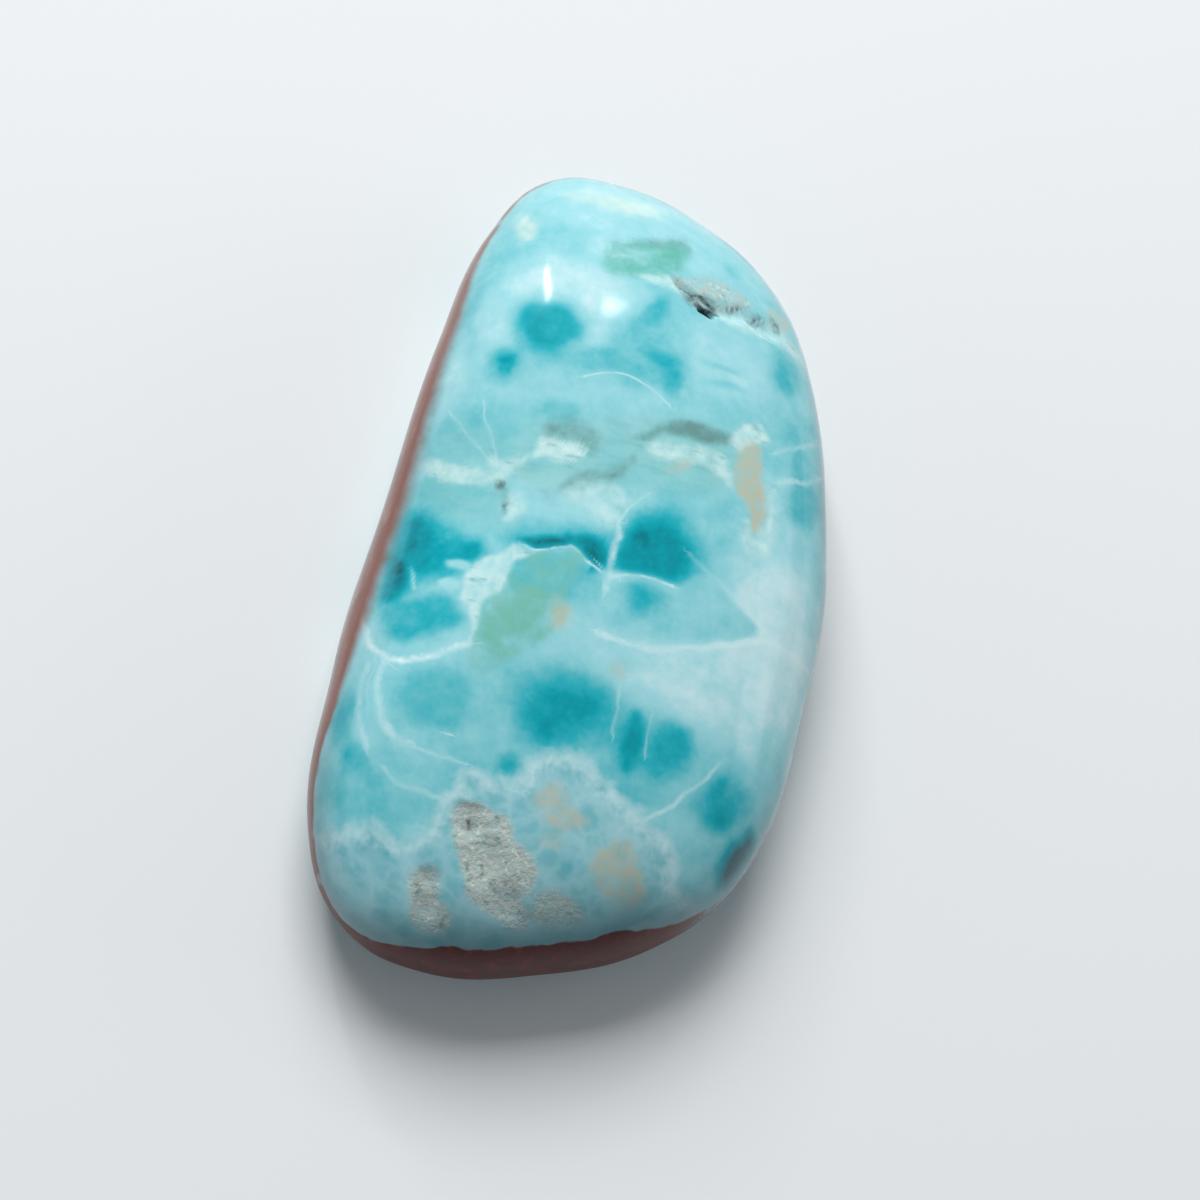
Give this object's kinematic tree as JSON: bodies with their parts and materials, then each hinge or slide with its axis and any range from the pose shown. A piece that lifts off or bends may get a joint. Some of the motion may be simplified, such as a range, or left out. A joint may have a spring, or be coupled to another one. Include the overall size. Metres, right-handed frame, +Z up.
{
  "type": "larimar palm stone",
  "caption": "Polished freeform larimar palm stone: a flattened pebble, narrower at one end, that lies on a small flat underneath.",
  "frame": {"origin": "on the surface the stone rests on, under the middle of its plan outline", "axes": "+Z up out of the resting flat, +Y along the stone's length towards its narrow end, +X towards the bulging side"},
  "size_m": [0.0392, 0.0716, 0.0183],
  "materials": {
    "larimar": "hand polish, semi-gloss to gloss"
  },
  "bodies": {
    "root": {"stone": "larimar"}
  },
  "joints": []
}
